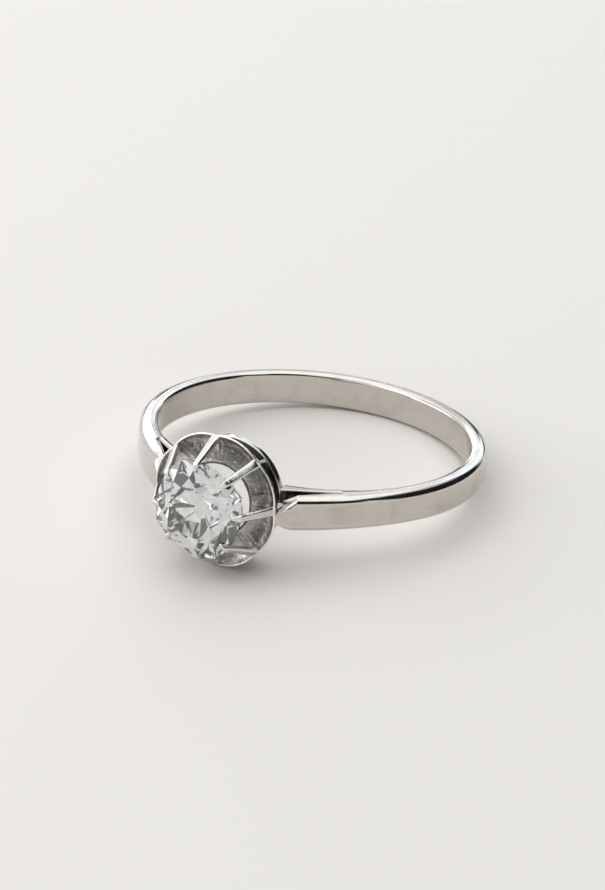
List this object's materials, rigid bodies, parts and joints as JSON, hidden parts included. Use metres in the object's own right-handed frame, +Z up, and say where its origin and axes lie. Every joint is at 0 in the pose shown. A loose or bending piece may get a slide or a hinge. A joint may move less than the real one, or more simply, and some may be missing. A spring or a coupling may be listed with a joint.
{
  "type": "engagement ring",
  "caption": "Solitaire engagement ring: slim white-metal shank with forked shoulders, a scalloped petal cup and slender claws holding a cushion-shaped old-cut diamond.",
  "frame": {"origin": "centre of the finger hole, half way along its width", "axes": "+Z along the finger's axis; the setting and its stone stand on the -Y side; +X points at the right shoulder when the stone faces the viewer and +Z is up"},
  "size_m": [0.0188, 0.0223, 0.0072],
  "materials": {
    "white_metal": "polished",
    "gallery_metal": "polished",
    "petal_metal": "polished",
    "claw_metal": "polished",
    "diamond": "polished"
  },
  "bodies": {
    "root": {"shank": "white_metal", "shoulder_right": "white_metal", "shoulder_left": "white_metal", "lower_branch_right": "white_metal", "lower_branch_left": "white_metal", "gallery_rail": "gallery_metal", "collar": "gallery_metal", "petal_1": "petal_metal", "petal_2": "petal_metal", "petal_3": "petal_metal", "petal_4": "petal_metal", "petal_5": "petal_metal", "petal_6": "petal_metal", "petal_7": "petal_metal", "petal_8": "petal_metal", "claw_1": "claw_metal", "claw_2": "claw_metal", "claw_3": "claw_metal", "claw_4": "claw_metal", "claw_5": "claw_metal", "claw_6": "claw_metal", "claw_7": "claw_metal", "claw_8": "claw_metal", "diamond": "diamond"}
  },
  "joints": []
}
